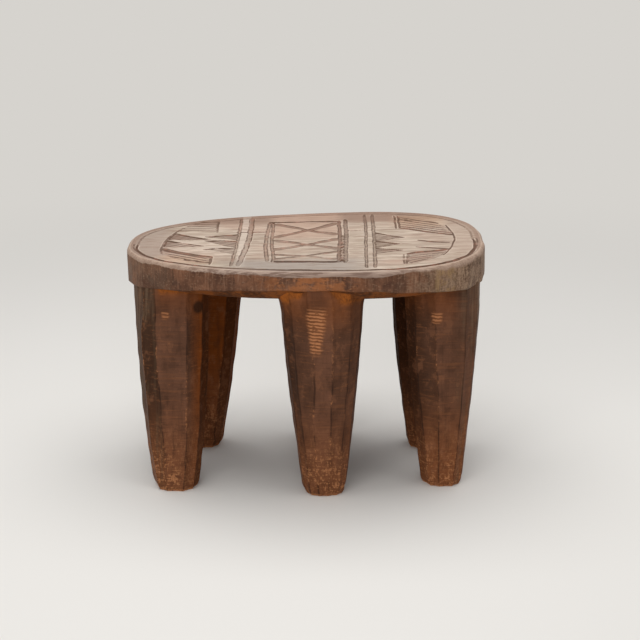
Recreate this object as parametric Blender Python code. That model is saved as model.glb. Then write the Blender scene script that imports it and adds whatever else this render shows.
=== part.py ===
"""A low oval stool on six stout legs, hewn from one block of hardwood.

The block is divided at the leg roots: a seat, and six legs that each stand in the seat on a round stub.
Lengths are in metres. +Z is up, the front is -Y, and the origin is on the floor under the middle of the seat.
"""

import math

import bmesh
import bpy
from mathutils import Matrix, Vector

# Seat: the height is that of its border at mid-length, and the tilt lifts its right end above its left
SEAT_LENGTH = 0.457
SEAT_DEPTH = 0.295
SEAT_HEIGHT = 0.306
SEAT_THICKNESS = 0.038
SEAT_TILT = math.radians(1.1)
SEAT_SEGMENTS = 96

# Seat outline: how square each half is (2 is an ellipse), and how much deeper it grows towards the right end
FRONT_FULLNESS = 2.2
REAR_FULLNESS = 2.75
END_SWELL = 0.145

# Seat edge: rounded above, then an upright side that reaches lowest at the two ends, and undercut below it
TOP_EDGE_WIDTH = 0.006
TOP_EDGE_DROP = 0.008
EDGE_STEPS = 4
SIDE_HEIGHT = 0.024
END_LOWER = 0.019
UNDERCUT = 0.013

# The groove round the top, which lies nearer to the front than to the back, and the field inside it
RING_INSET = 0.0145
RING_SHIFT = 0.001
RING_WIDTH = 0.0036
RING_DEPTH = 0.002
FIELD_DROP = 0.0004

# Carving of the top: depths below the field, and how far the cutters stand above it
BAND_DEPTH = 0.0018
CROSS_DEPTH = 0.0016
TRIANGLE_DEPTH = 0.0014
CUTTER_RISE = 0.001

# Knife cuts as (half width, points), in millimetres on the top from the seat's centre
MM = 0.001
BANDS = [
    (2.0, [(-86, 119), (-87.5, 0), (-91.5, -108)]),
    (2.6, [(-71.5, 121), (-72, 10), (-81, -109)]),
    (1.8, [(78.5, 128), (77, -20), (76, -127)]),
    (1.8, [(88.5, 128), (88, -10), (86, -127)]),
]
PANEL_BORDER = [
    (2.0, [(-47, 99), (-52, 10), (-48, -89)]),
    (1.8, [(-43, 98), (-43.5, 5), (-39, -93)]),
    (2.0, [(44, 100), (44.5, 30), (42, -99)]),
    (2.4, [(53, 106), (53, 30), (50, -101)]),
    (1.6, [(-47, 98), (44, 97)]),
    (3.4, [(-39, -91), (42, -97)]),
]
END_PANELS = [
    (1.5, [(-163, 78), (-178, 35), (-185, 0), (-186, -25), (-168, -34), (-121, -63), (-121, -98)]),
    (1.5, [(-117, 114), (-116, 54)]),
    (1.5, [(123, 120), (123.5, 57), (150, 37), (189, 18)]),
    (1.5, [(184, 69), (190, 30), (191, 0), (186, -30), (172, -75)]),
    (1.5, [(122, -112), (125, -65), (143, -58), (180, -51)]),
]

# Crosses of the panel: where the arms meet, and how far back they end at the left and at the right
CROSS_REACH = 41
CROSS_HALF_WIDTH = 4.4
CROSSES = [
    ((3, 55), (86, 27), (86, 33)),
    ((3, -15), (6, -35), (9, -35)),
    ((0, -68), (-61, -81), (-51, -83)),
]

# Sunk triangles, as their corners
TRIANGLES = [
    [(-87, 43), (-130, 34), (-87, 13)],
    [(-87, 8), (-130, 13), (-88, -23)],
    [(-88, -24), (-129, -30), (-89, -54)],
    [(-173, 52), (-122, 21), (-179, 20)],
    [(-180, 19), (-129, -12), (-184, -14)],
    [(88, 40), (131, 14), (88, 1)],
    [(88, -1), (124, -18), (88, -33)],
    [(88, -36), (126, -47), (88, -60)],
]

# Legs: each reaches up past the underside where the seat is undercut, and is drawn in under the rim there
ROOT_DEPTH = 0.070
ROOT_FLARE = 0.006
ROOT_FLARE_HEIGHT = 0.026
ROOT_REACH = 0.014
UNDER_RIM = 0.055
RIM_INSET = 0.001
FOOT_DEPTH = 0.048
FOOT_CHAMFER = 0.003
FOOT_CHAMFER_HEIGHT = 0.009
SECTION_SQUARENESS = 2.4
SHAFT_STEPS = 7
FIT_CLEARANCE = 0.0003

# Stub on each leg's top, in a blind socket that leaves this much wood above it
STUB_DIAMETER = 0.044
STUB_SKIN = 0.016
STUB_SEGMENTS = 28
STUB_OVERLAP = 0.006
CUTTER_OVERRUN = 0.010

# Each leg: the places of its root and its foot, its widths there, how strongly the shaft swells, and the
# way each hewn facet faces
LEGS = {
    "leg_front_left": dict(
        root=(-0.1692, -0.0466), foot=(-0.1662, -0.0756), root_width=0.089, foot_width=0.054, swell=2.1,
        facets=(-162, -117, -92, -52, -20, 15, 55, 98, 140),
    ),
    "leg_front_centre": dict(
        root=(0.0205, -0.1114), foot=(0.0240, -0.0914), root_width=0.100, foot_width=0.053, swell=1.4,
        facets=(-170, -138, -108, -91, -73, -42, -8, 36, 80, 112, 150),
    ),
    "leg_front_right": dict(
        root=(0.1730, -0.0562), foot=(0.1768, -0.0605), root_width=0.092, foot_width=0.050, swell=1.6,
        facets=(-152, -112, -84, -46, -8, 30, 72, 112, 162),
    ),
    "leg_rear_left": dict(
        root=(-0.1293, 0.0839), foot=(-0.1423, 0.0720), root_width=0.090, foot_width=0.052, swell=1.7,
        facets=(-170, -128, -84, -42, -12, 28, 66, 104, 146),
    ),
    "leg_rear_centre": dict(
        root=(0.0171, 0.1096), foot=(0.0221, 0.0956), root_width=0.094, foot_width=0.050, swell=1.6,
        facets=(-164, -122, -84, -44, -6, 34, 66, 93, 118, 152),
    ),
    "leg_rear_right": dict(
        root=(0.1581, 0.0883), foot=(0.1641, 0.0690), root_width=0.090, foot_width=0.052, swell=1.7,
        facets=(-174, -134, -96, -54, -14, 24, 64, 102, 142),
    ),
}

# Finishes
TOP_COLOUR = (0.50, 0.39, 0.31, 1)
LEG_COLOUR = (0.092, 0.044, 0.026, 1)
TOP_ROUGHNESS = 0.70
LEG_ROUGHNESS = 0.55

# The seat's own frame has its origin at mid-thickness
SEAT_TOP = SEAT_THICKNESS / 2
SEAT_UNDERSIDE = -SEAT_THICKNESS / 2
FIELD = SEAT_TOP - FIELD_DROP
SEAT_FRAME = Matrix.Translation((0, 0, SEAT_HEIGHT - SEAT_TOP)) @ Matrix.Rotation(-SEAT_TILT, 4, "Y")
STUB_LENGTH = SEAT_THICKNESS - STUB_SKIN
SEAT_TURNS = [2 * math.pi * step / SEAT_SEGMENTS for step in range(SEAT_SEGMENTS)]


def signed_power(value, power):
    return math.copysign(abs(value) ** power, value)


def raw_outline(angle):
    """The seat's outline before it is fitted to its length and depth: two half ovals of unlike fullness."""
    fullness = REAR_FULLNESS if math.sin(angle) > 0 else FRONT_FULLNESS
    x = signed_power(math.cos(angle), 2 / fullness)
    y = signed_power(math.sin(angle), 2 / fullness)
    return x, y * (1 + END_SWELL * x)


def outline_limits(steps=720):
    depths = [raw_outline(2 * math.pi * step / steps)[1] for step in range(steps)]
    return min(depths), max(depths)


FRONT_LIMIT, REAR_LIMIT = outline_limits()


def outline(angle, inset, height, forward=0.0):
    """A point in the seat's frame, on the outline or on the like oval inside it, moved towards the front."""
    x, y = raw_outline(angle)
    middle = (FRONT_LIMIT + REAR_LIMIT) / 2
    half = (REAR_LIMIT - FRONT_LIMIT) / 2
    along = (y - middle) / half * (SEAT_DEPTH / 2 - inset)
    return Vector((x * (SEAT_LENGTH / 2 - inset), along - forward, height))


def under_seat(place, share):
    """A place on the outside of a leg, drawn in by a share of what it stands out from under the rim."""
    x = place.x / (SEAT_LENGTH / 2 - RIM_INSET)
    along = place.y / (SEAT_DEPTH / 2 - RIM_INSET) * (REAR_LIMIT - FRONT_LIMIT) / 2
    y = (along + (FRONT_LIMIT + REAR_LIMIT) / 2) / (1 + END_SWELL * x)
    fullness = REAR_FULLNESS if y > 0 else FRONT_FULLNESS
    reach = max(1, (abs(x) ** fullness + abs(y) ** fullness) ** (1 / fullness))
    drawn = 1 + (reach - 1) * share
    return Vector((place.x / drawn, place.y / drawn, place.z))


def side_end(angle, clearance=0.0):
    """A point on the lower edge of the seat's side."""
    x, _ = raw_outline(angle)
    return outline(angle, -clearance, SEAT_TOP - SIDE_HEIGHT - END_LOWER * x * x - clearance)


def underside_edge(angle, clearance=0.0):
    """A point where the undercut below the side meets the flat underside."""
    return outline(angle, UNDERCUT - clearance, SEAT_UNDERSIDE - clearance)


def seat_rings():
    """Rings of the seat's skin, from the field over the ring groove and the rim to the underside."""
    rings = [
        (RING_INSET + RING_WIDTH / 2, FIELD, RING_SHIFT),
        (RING_INSET, SEAT_TOP - RING_DEPTH, RING_SHIFT),
        (RING_INSET - RING_WIDTH / 2, SEAT_TOP, RING_SHIFT),
    ]
    for step in range(EDGE_STEPS + 1):
        turn = math.pi / 2 * step / EDGE_STEPS
        drop = TOP_EDGE_DROP * (1 - math.cos(turn))
        rings.append((TOP_EDGE_WIDTH * (1 - math.sin(turn)), SEAT_TOP - drop, 0))
    skin = [[outline(turn, *place) for turn in SEAT_TURNS] for place in rings]
    return skin + [[side_end(turn) for turn in SEAT_TURNS], [underside_edge(turn) for turn in SEAT_TURNS]]


def loft(name, rings, material):
    """An object whose closed skin runs through the rings in turn, with a flat cap at each end."""
    mesh = bmesh.new()
    loops = [[mesh.verts.new(point) for point in ring] for ring in rings]
    for loop, following in zip(loops, loops[1:]):
        for side in range(len(loop)):
            mesh.faces.new((loop[side - 1], loop[side], following[side]))
            mesh.faces.new((loop[side - 1], following[side], following[side - 1]))
    mesh.faces.new(loops[0])
    mesh.faces.new(loops[-1])
    bmesh.ops.recalc_face_normals(mesh, faces=mesh.faces)
    data = bpy.data.meshes.new(name)
    mesh.to_mesh(data)
    mesh.free()
    data.materials.append(material)
    made = bpy.data.objects.new(name, data)
    bpy.context.scene.collection.objects.link(made)
    return made


def hide(tool):
    tool.hide_render = True
    tool.display_type = "WIRE"


def add_cylinder(name, diameter, bottom, top, frame):
    """A hidden cylinder between two heights of a frame, to be joined to a piece or cut from it."""
    bpy.ops.mesh.primitive_cylinder_add(vertices=STUB_SEGMENTS, radius=diameter / 2, depth=top - bottom)
    made = bpy.context.object
    made.name = name
    made.matrix_world = frame @ Matrix.Translation((0, 0, (bottom + top) / 2))
    hide(made)
    return made


def add_boolean(target, tool, operation):
    modifier = target.modifiers.new(tool.name, "BOOLEAN")
    modifier.operation = operation
    modifier.object = tool


def wood(name, colour, roughness):
    material = bpy.data.materials.new(name)
    material.use_nodes = True
    shader = material.node_tree.nodes["Principled BSDF"]
    shader.inputs["Base Color"].default_value = colour
    shader.inputs["Roughness"].default_value = roughness
    shader.inputs["Metallic"].default_value = 0
    return material


def root_frame(leg):
    """A frame where a leg's axis meets the underside of the seat, tilted with the seat."""
    return SEAT_FRAME @ Matrix.Translation((*leg["root"], SEAT_UNDERSIDE))


def section(half_width, half_depth, facets):
    """The cross-section of a leg: corners where neighbouring facets, all touching a round square, meet."""
    power = SECTION_SQUARENESS / (SECTION_SQUARENESS - 1)
    sides = []
    for facet in facets:
        across, along = math.cos(math.radians(facet)), math.sin(math.radians(facet))
        reach = ((half_width * abs(across)) ** power + (half_depth * abs(along)) ** power) ** (1 / power)
        sides.append((across, along, reach))
    corners = []
    for (across, along, reach), (next_across, next_along, next_reach) in zip(sides, sides[1:] + sides[:1]):
        turn = across * next_along - next_across * along
        x = (reach * next_along - next_reach * along) / turn
        y = (across * next_reach - next_across * reach) / turn
        corners.append(Vector((x, y, 0)))
    return corners


def leg_rings(leg, root):
    """Cross-sections of a leg from its sole up into the undercut, about the point where it meets the seat."""
    height = root.z
    shaft = height - ROOT_FLARE_HEIGHT - FOOT_CHAMFER_HEIGHT
    levels = [FOOT_CHAMFER_HEIGHT + shaft * step / SHAFT_STEPS for step in range(SHAFT_STEPS + 1)]
    shift = Vector((*leg["foot"], 0)) - Vector((*leg["root"], 0))
    inwards = Vector((-root.x / (SEAT_LENGTH / 2), -root.y / (SEAT_DEPTH / 2), 0))
    rings = []
    for level in [0, *levels, height, height + ROOT_REACH]:
        share = min(1, level / height)
        swell = 1 - (1 - share) ** leg["swell"]
        width = leg["foot_width"] + (leg["root_width"] - leg["foot_width"]) * swell
        depth = FOOT_DEPTH + (ROOT_DEPTH - FOOT_DEPTH) * swell
        centre = shift * (1 - share) + Vector((0, 0, level - root.z))
        grow = 0.0
        if level == 0:
            grow = -2 * FOOT_CHAMFER
        elif level >= height:
            grow = ROOT_FLARE
            centre += inwards * ROOT_FLARE / 2
        corners = section((width + grow) / 2, (depth + grow) / 2, leg["facets"])
        drawn = min(1, max(0, 1 - (height - level) / UNDER_RIM))
        points = [under_seat(root + centre + corner, drawn) - root for corner in corners]
        if level >= height:
            points = [point + Vector((0, 0, point.x * math.tan(SEAT_TILT))) for point in points]
        rings.append(points)
    return rings


def add_seat_space(material):
    """The space that the seat fills, with a hair of clearance, to be cut from the legs."""
    rings = [
        [outline(turn, -FIT_CLEARANCE, SEAT_TOP) for turn in SEAT_TURNS],
        [side_end(turn, FIT_CLEARANCE) for turn in SEAT_TURNS],
        [underside_edge(turn, FIT_CLEARANCE) for turn in SEAT_TURNS],
    ]
    space = loft("seat_space", rings, material)
    space.matrix_world = SEAT_FRAME
    hide(space)
    return space


def make_leg(name, leg, seat_space, material):
    frame = root_frame(leg)
    made = loft(name, leg_rings(leg, frame.translation), material)
    made.location = frame.translation
    add_boolean(made, seat_space, "DIFFERENCE")
    stub = add_cylinder(name + "_stub", STUB_DIAMETER, -STUB_OVERLAP, STUB_LENGTH - FIT_CLEARANCE, frame)
    add_boolean(made, stub, "UNION")


def cut_from(seat, name, rings):
    """Cuts the solid through these rings, given in the seat's frame, from the seat."""
    cutter = loft(name, rings, seat.data.materials[0])
    cutter.matrix_world = SEAT_FRAME
    hide(cutter)
    add_boolean(seat, cutter, "DIFFERENCE")


def cut_groove(seat, name, half_width, points, depth):
    """Cuts a groove of V section along a line of points, all in millimetres, into the top."""
    places = [Vector((x, y, 0)) * MM for x, y in points]
    rings = []
    for number, place in enumerate(places):
        along = places[min(number + 1, len(places) - 1)] - places[max(number - 1, 0)]
        aside = Vector((-along.y, along.x, 0)).normalized() * half_width * MM * (1 + CUTTER_RISE / depth)
        top = place + Vector((0, 0, FIELD + CUTTER_RISE))
        rings.append([top + aside, top - aside, place + Vector((0, 0, FIELD - depth))])
    cut_from(seat, name, rings)


def carve_top(seat):
    for number, (half_width, points) in enumerate(BANDS + PANEL_BORDER + END_PANELS):
        cut_groove(seat, f"groove_{number}", half_width, points, BAND_DEPTH)
    for number, (middle, left_ends, right_ends) in enumerate(CROSSES):
        for arm, left, right in zip("ab", left_ends, reversed(right_ends)):
            points = [(-CROSS_REACH, left), middle, (CROSS_REACH, right)]
            cut_groove(seat, f"cross_{number}{arm}", CROSS_HALF_WIDTH, points, CROSS_DEPTH)
    for number, corners in enumerate(TRIANGLES):
        levels = (FIELD - TRIANGLE_DEPTH, FIELD + CUTTER_RISE)
        rings = [[Vector((x * MM, y * MM, level)) for x, y in corners] for level in levels]
        cut_from(seat, f"triangle_{number}", rings)


def make_seat(material):
    seat = loft("seat", seat_rings(), material)
    seat.matrix_world = SEAT_FRAME
    seat.data.shade_smooth()
    seat.data.set_sharp_from_angle(angle=math.radians(35))
    carve_top(seat)
    for name, leg in LEGS.items():
        diameter = STUB_DIAMETER + 2 * FIT_CLEARANCE
        socket = add_cylinder(name + "_socket", diameter, -CUTTER_OVERRUN, STUB_LENGTH, root_frame(leg))
        add_boolean(seat, socket, "DIFFERENCE")


for old in list(bpy.data.objects):
    bpy.data.objects.remove(old)
make_seat(wood("seat_wood", TOP_COLOUR, TOP_ROUGHNESS))
leg_wood = wood("leg_wood", LEG_COLOUR, LEG_ROUGHNESS)
legs_end_at = add_seat_space(leg_wood)
for leg_name, leg_sizes in LEGS.items():
    make_leg(leg_name, leg_sizes, legs_end_at, leg_wood)
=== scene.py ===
from math import cos, pi, radians, sin, tan

import bpy
import numpy as np
from mathutils import Matrix, Vector


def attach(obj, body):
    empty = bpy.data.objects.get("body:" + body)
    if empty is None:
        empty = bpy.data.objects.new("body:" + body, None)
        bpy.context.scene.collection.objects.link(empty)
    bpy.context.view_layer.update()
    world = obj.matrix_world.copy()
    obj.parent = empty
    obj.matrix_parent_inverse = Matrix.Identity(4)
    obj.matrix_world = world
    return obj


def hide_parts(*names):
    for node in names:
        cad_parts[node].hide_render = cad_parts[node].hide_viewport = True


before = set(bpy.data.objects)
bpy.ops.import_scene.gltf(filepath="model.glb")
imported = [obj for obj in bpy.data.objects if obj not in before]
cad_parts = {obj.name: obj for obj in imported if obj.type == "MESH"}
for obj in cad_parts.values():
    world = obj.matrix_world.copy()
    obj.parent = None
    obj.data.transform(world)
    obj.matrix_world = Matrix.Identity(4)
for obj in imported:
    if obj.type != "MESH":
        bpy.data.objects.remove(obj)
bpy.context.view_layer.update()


# Seat: one oval slab of the trunk, its long side along the grain, with the right end a little higher.
# The rim is hewn with an adze and worn round along its upper edge. The face is hollowed slightly and
# carved with a knife: bands from front to back, a panel of crosses, and triangles and hatching at the ends.

SEAT_LENGTH = 0.457
SEAT_DEPTH = 0.295
SEAT_HEIGHT = 0.306
SEAT_THICKNESS = 0.038
SEAT_TILT = radians(1.1)
FRONT_LEFT_FULLNESS = 2.3
FRONT_RIGHT_FULLNESS = 2.5
REAR_FULLNESS = 2.75
END_SWELL = 0.145
EDGE_WIDTH = 0.006
EDGE_DROP = 0.008
SIDE_HEIGHT = 0.024
END_LOWER = 0.019
LOWER_ROUND = 0.002
UNDERCUT = 0.013
RING_INSET = 0.0145
RING_SHIFT = 0.001
RING_NEARER_LEFT = 0.004
RING_NEARER_RIGHT = 0.006
TROUGH_INSET = 0.0095
FIELD_DROP = 0.0004
HOLLOWED = 0.0006
MM = 0.001

TOP = SEAT_THICKNESS / 2
SEAT_FRAME = Matrix.Translation((0, 0, SEAT_HEIGHT - TOP)) @ Matrix.Rotation(-SEAT_TILT, 4, "Y")


def rim_fullness(across, along):
    """How square the oval is on the side of its middle that a place lies: 2 is an ellipse."""
    front = np.where(across < 0, FRONT_LEFT_FULLNESS, FRONT_RIGHT_FULLNESS)
    return np.where(along < 0, front, REAR_FULLNESS)


def unit_edge(turn):
    """The oval's edge in each direction, for a seat two units long and about two deep."""
    fullness = rim_fullness(np.cos(turn), np.sin(turn))
    reach = (np.abs(np.cos(turn)) ** fullness + np.abs(np.sin(turn)) ** fullness) ** (-1 / fullness)
    return reach * np.cos(turn), reach * np.sin(turn)


edge_x, edge_y = unit_edge(np.linspace(0, 2 * pi, 721))
edge_y = edge_y * (1 + END_SWELL * edge_x)
EDGE_MIDDLE = (edge_y.max() + edge_y.min()) / 2
EDGE_HALF = (edge_y.max() - edge_y.min()) / 2


def oval(across, along, inset):
    """Places in the unit oval brought to the seat's size, the right half a little deeper than the left."""
    x = across * (SEAT_LENGTH / 2 - inset)
    y = (along * (1 + END_SWELL * across) - EDGE_MIDDLE) / EDGE_HALF * (SEAT_DEPTH / 2 - inset)
    return x, y


def unit_place(x, y, inset):
    """A place on the seat brought back to the unit oval."""
    across = x / (SEAT_LENGTH / 2 - inset)
    along = (y / (SEAT_DEPTH / 2 - inset) * EDGE_HALF + EDGE_MIDDLE) / (1 + END_SWELL * across)
    return across, along


def beyond_rim(x, y, inset):
    """How far a place reaches towards the rim: 1 on the rim, less inside it."""
    across, along = unit_place(x, y, inset)
    fullness = rim_fullness(across, along)
    return (np.abs(across) ** fullness + np.abs(along) ** fullness) ** (1 / fullness)


def places(piece):
    points = np.empty(len(piece.data.vertices) * 3)
    piece.data.vertices.foreach_get("co", points)
    return points.reshape(-1, 3)


def move_to(piece, points):
    piece.data.vertices.foreach_set("co", points.ravel())
    piece.data.update()


def note(piece, name, values):
    """Keeps a number for each vertex, which the material reads by name."""
    kept = piece.data.attributes.get(name) or piece.data.attributes.new(name, "FLOAT", "POINT")
    kept.data.foreach_set("value", np.asarray(values, dtype=np.float32))


def noted(piece, name):
    values = np.empty(len(piece.data.vertices), dtype=np.float32)
    piece.data.attributes[name].data.foreach_get("value", values)
    return values


def undulation(points, wavelength, seed):
    """The unevenness of hand work: slow waves that cross at random, about -1 to 1."""
    chance = np.random.default_rng(seed)
    waves = chance.normal(size=(9, points.shape[1]))
    waves /= np.linalg.norm(waves, axis=1, keepdims=True)
    waves *= 2 * pi / wavelength * chance.uniform(0.6, 1.5, (9, 1))
    return np.sin(points @ waves.T + chance.uniform(0, 2 * pi, 9)).sum(axis=1) / 4.5


# The carving, in millimetres on the face from the seat's centre, towards the right end and the back.
EASED_COUNTS = range(4, 20)
KNIFE_HALF_WIDTH = 0.9
KNIFE_DEPTH = 1.1
TRIANGLE_DEPTH = 1.0
TRIANGLE_LINES_APART = 6.5
FAR_APART = 60
HATCH_HALF_WIDTH = 1.5
HATCH_DEPTH = 0.8
grooves = []
hollows = []


def groove(points, half_width, depth, end_half_width=None, stain=0.5):
    """A knife cut along a line, its floor darkened by so much. It runs out narrow at both ends, or comes
    to a given width at its far end. A line through a few points has its bends eased."""
    points = np.array(points) * MM
    if len(points) in EASED_COUNTS:
        early, late = points[:-1] * 0.75 + points[1:] * 0.25, points[:-1] * 0.25 + points[1:] * 0.75
        points = np.vstack([points[:1], np.stack([early, late], axis=1).reshape(-1, 2), points[-1:]])
    runs_out = end_half_width is None and np.linalg.norm(points[0] - points[-1]) > MM
    end_half_width = end_half_width or half_width
    grooves.append((points, half_width * MM, end_half_width * MM, depth * MM, stain, runs_out))


def hollow(corners, depth, stain, slope, spacing):
    """A sunk area with steep walls, its floor darkened and scored with sloping lines. Where they are far
    apart, only one or two cross it."""
    hollows.append((np.array(corners) * MM, depth * MM, stain, slope, spacing * MM))


def triangle(corners, stain, slope):
    """A sunk triangle with a knife line round it."""
    hollow(corners, TRIANGLE_DEPTH, stain, slope, TRIANGLE_LINES_APART)
    for corner, next_corner in zip(corners, corners[1:] + corners[:1]):
        groove([corner, next_corner], KNIFE_HALF_WIDTH, KNIFE_DEPTH, stain=0.8)


def hatching(start, end, start_step, end_step, rows, stain):
    """Rows of straight knife lines, each a step further on than the last at both its ends."""
    for row in range(rows):
        ends = np.array([start, end]) + row * np.array([start_step, end_step])
        groove(ends, HATCH_HALF_WIDTH, HATCH_DEPTH, stain=stain)


def ring_inset(turn):
    """How far in from the outline the groove round the face runs: least at the two front corners."""
    nearer = np.where(np.cos(turn) > 0, RING_NEARER_RIGHT, RING_NEARER_LEFT)
    return RING_INSET - nearer * np.abs(np.sin(2 * turn)) * (np.sin(turn) < 0)


# A groove runs round inside the rim, faint behind, and darker, wider and nearer to the rim in front.
# A shallow trough lies outside it. Each stretch of it has its two bearings in degrees, the half width
# at each, and its stain.
RING_POINTS = 61
RING_DEPTH = 1.7
TROUGH_HALF_WIDTH = 1.0
TROUGH_DEPTH = 0.5
TROUGH_STAIN = 0.35
stretches = (
    (0, 90, 1.1, 1.7, 0.15),
    (90, 180, 1.7, 1.2, 0.15),
    (180, 222, 1.2, 3.0, 0.8),
    (222, 270, 3.0, 2.4, 1.0),
    (270, 318, 2.4, 3.6, 1.0),
    (318, 360, 3.6, 1.1, 0.8),
)
for first, last, half_width, end_half_width, stain in stretches:
    turns = np.radians(np.linspace(first, last, RING_POINTS))
    ring_x, ring_y = oval(*unit_edge(turns), ring_inset(turns))
    ring = np.stack([ring_x, ring_y - RING_SHIFT], axis=1) / MM
    groove(ring, half_width, RING_DEPTH, end_half_width, stain=stain)
    trough = np.stack(oval(*unit_edge(turns), TROUGH_INSET), axis=1) / MM
    groove(trough, TROUGH_HALF_WIDTH, TROUGH_DEPTH, TROUGH_HALF_WIDTH, stain=TROUGH_STAIN * stain)

# Two raised bands cross the seat, each between a pair of grooves, and two fine lines run along the grain.
groove([(-86, 119), (-86.5, 50), (-87.5, 0), (-89, -60), (-90.5, -107)], 2.2, 1.8, stain=0.34)
groove([(-72.5, 121), (-72, 60), (-73, 10), (-77, -48), (-82, -107)], 3.4, 1.4, stain=0.36)
groove([(-70.5, 121), (-69.5, 60), (-70.5, 10), (-74.5, -48), (-80.5, -109)], 1.1, 1.9, stain=1.0)
groove([(78.5, 128), (79, 40), (77, -20), (76, -80), (76, -127)], 1.9, 1.8, stain=0.36)
groove([(88.5, 128), (89, 40), (88, -10), (87, -80), (86, -127)], 2.3, 1.8, stain=0.36)
groove([(-90, 53), (-54, 50)], 1.3, 0.9, stain=1.0)
groove([(56, 52), (72, 51)], 1.0, 0.8, stain=0.6)

# The panel between them has a border of paired grooves, the right pair with a punched strip between.
groove([(-47, 99), (-49.5, 60), (-51, 10), (-50, -40), (-46.5, -89)], 2.5, 1.8, stain=0.34)
groove([(-43, 98), (-43, 40), (-43.5, 5), (-41, -40), (-39.5, -65), (-39, -93)], 2.2, 1.8, stain=0.38)
groove([(44, 100), (44.6, 30), (43.5, -20), (42, -60), (42, -99)], 2.4, 1.8, stain=0.5)
groove([(52.5, 106), (53, 30), (51.5, -30), (50, -101)], 2.8, 1.8, stain=0.45)
groove([(-47, 98), (0, 99), (44, 97)], 2.6, 1.2, stain=0.85)
groove([(-39, -91), (0, -94), (42, -97)], 4.4, 1.8, stain=1.0)
hollow([(45.5, 27), (51.5, 27), (49.5, -99), (43.5, -99)], 0.6, 0.4, 0.0, FAR_APART)
PUNCH_ROWS = 10
PUNCH_STEP = 12.4
punch = np.random.default_rng(11)
for row in range(PUNCH_ROWS):
    for column in (-2.4, 2.4):
        x = 47.6 - row * 0.1 + column + punch.normal(0, 0.8)
        y = 22 - row * PUNCH_STEP + column + punch.normal(0, 2.0)
        groove([(x - 1.4, y - 3), (x + 1.4, y + 3)], 1.6, 1.5, stain=1.0)

# Three crosses fill the panel, their arms narrowing to where they meet. Each has its middle, how far back
# its arms begin on the left and on the right, their half width there, and their stain.
PANEL_LEFT = -36
PANEL_RIGHT = 38
MEETING = 7
NARROWING = 0.6
crosses = (
    ((3, 55), (86, 27, 86, 33), 6.0, 0.52),
    ((3, -15), (6, -35, 9, -35), 6.0, 0.5),
    ((0, -68), (-61, -81, -51, -83), 4.6, 0.38),
)
for (x, y), arms, half_width, stain in crosses:
    groove([(x - MEETING, y), (x + MEETING, y)], 2.4, 1.8, stain=0.95)
    for side, arm in zip((PANEL_LEFT, PANEL_LEFT, PANEL_RIGHT, PANEL_RIGHT), arms):
        groove([(side, arm), (x, y)], half_width, 1.6, NARROWING * half_width, stain=stain)

# The left end has triangles that point at each other across a bare field, an arc round them, and a hatched
# panel in each corner.
triangle([(-87, 43), (-130, 34), (-118, 27), (-87, 13)], 0.32, -0.1)
triangle([(-87, 8), (-110, 13), (-130, 13), (-110, -6), (-88, -23)], 0.32, -0.4)
triangle([(-88, -24), (-114, -23), (-129, -30), (-108, -39), (-89, -54)], 0.08, -0.3)
triangle([(-171, 52), (-150, 36), (-122, 20), (-150, 16), (-177, 20)], 0.42, -0.6)
triangle([(-178, 18), (-158, 3), (-129, -12), (-156, -15), (-181, -14)], 0.3, -0.5)
groove([(-162, 78), (-170, 56), (-176, 35), (-180, 18), (-182, 0), (-183, -15), (-183, -30), (-179, -48)],
       1.0, 1.1, stain=0.4)
hollow([(-169, 58), (-118, 56), (-118, 114), (-140, 106), (-158, 86)], 0.5, 0.12, 0.03, 9.5)
groove([(-117, 114), (-116, 54)], 1.3, 1.2, stain=0.35)
hollow([(-181, -20), (-168, -34), (-148, -47), (-117, -64), (-117, -98), (-145, -85), (-166, -66),
        (-182, -46)], 0.6, 0.2, -0.52, FAR_APART)
hatching((-178, -33), (-119, -72), (3, -11), (0, -9), 3, 0.7)
groove([(-177, -26), (-168, -36), (-148, -49), (-118, -64)], 4.8, 1.7, 2.6, stain=0.7)
groove([(-116, -63), (-117, -99)], 1.5, 1.2)

# The right end has three triangles with a shallow dark line along their near edges, an arc, two single lines
# and two hatched panels with doubled edges.
triangle([(88, 40), (110, 24), (127, 14), (106, 5), (88, 1)], 0.16, -0.5)
triangle([(88, -1), (103, -9), (120, -18), (102, -26), (88, -33)], 0.1, -0.45)
triangle([(88, -36), (104, -41), (122, -47), (102, -55), (88, -60)], 0.34, -0.3)
groove([(88, -1), (106, 3), (127, 13)], 1.9, 0.3, stain=0.95)
groove([(88, -35), (102, -28), (120, -19)], 1.9, 0.3, stain=0.95)
groove([(88, -62), (102, -57), (122, -48)], 1.9, 0.3, stain=0.8)
groove([(184, 69), (187, 50), (190, 30), (191.5, 14), (191, 0), (189, -15), (186, -30), (182, -48),
        (172, -75)], 0.95, 1.1, stain=0.6)
hollow([(124, 57), (150, 44), (188, 19), (186, 52), (172, 84), (150, 105), (124, 119)],
       0.5, 0.12, -0.38, FAR_APART)
hatching((125, 68), (186, 32), (0, 11.5), (-3, 11.5), 5, 0.75)
groove([(125, 67), (150, 54), (188, 30)], 1.9, 1.3, stain=0.9)
groove([(118.5, 121), (118.5, 55)], 1.1, 1.3, stain=0.45)
groove([(123, 120), (123.5, 57)], 1.3, 1.3, stain=0.55)
groove([(123.5, 57), (150, 43), (189, 18)], 3.4, 1.3, stain=0.8)
hollow([(129, -65), (145, -58), (178, -52), (170, -75), (158, -92), (131, -112), (127, -100)],
       0.5, 0.3, 0.24, FAR_APART)
hatching((129, -76), (173, -62), (0, -10), (-7, -9.5), 4, 0.55)
groove([(123, -68), (122, -112)], 0.9, 0.9, stain=0.3)
groove([(125, -112), (128, -65)], 1.1, 1.2, stain=0.35)
groove([(128, -65), (145, -58), (178, -51)], 2.6, 1.2, stain=0.8)
groove([(145, -3), (164, -13), (183, -17)], 2.2, 0.9, stain=0.7)
groove([(141, -35), (160, -42), (182, -49)], 2.2, 0.9, stain=0.7)


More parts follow.
